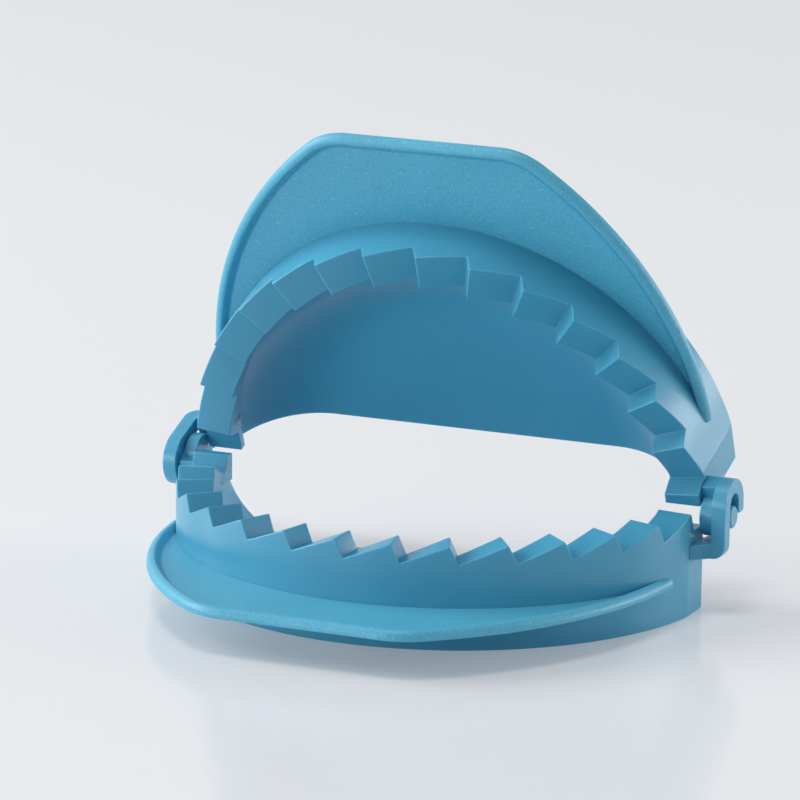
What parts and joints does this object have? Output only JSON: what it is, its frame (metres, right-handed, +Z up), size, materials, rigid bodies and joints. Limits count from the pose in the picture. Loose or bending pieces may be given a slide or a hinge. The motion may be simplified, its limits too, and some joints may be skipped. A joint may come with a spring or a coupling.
{
  "type": "empanada press",
  "caption": "Hinged half-moon pastry press: saw-toothed rims around bowl-shaped pockets fold together to fill, seal and crimp a round of dough, with wide handle flanges.",
  "frame": {"origin": "on the table, at the middle of the box round the opened press", "axes": "+X along the hinge axis towards the lower half's hook, -Y out to the lower handle, +Z up"},
  "size_m": [0.1322, 0.0998, 0.1002],
  "materials": {
    "polypropylene_smooth": "smooth semi-gloss moulding",
    "polypropylene_grained": "fine spark-eroded grain"
  },
  "bodies": {
    "lower_half": {"lower_outer_wall": "polypropylene_smooth", "lower_crimp_rim": "polypropylene_smooth", "lower_filling_pocket": "polypropylene_smooth", "lower_handle_flange": "polypropylene_grained", "lower_hinge_arm": "polypropylene_smooth", "lower_hinge_pin": "polypropylene_smooth"},
    "upper_half": {"upper_outer_wall": "polypropylene_smooth", "upper_crimp_rim": "polypropylene_smooth", "upper_filling_pocket": "polypropylene_smooth", "upper_handle_flange": "polypropylene_grained", "upper_hinge_arm": "polypropylene_smooth", "upper_hinge_pin": "polypropylene_smooth"}
  },
  "joints": [
    {"name": "press_fold", "type": "hinge", "parent": "lower_half", "child": "upper_half", "pos_m": [0, 0.03083, 0.0207], "axis": [-1, 0, 0], "range_deg": [-68.2, 111.8]}
  ]
}
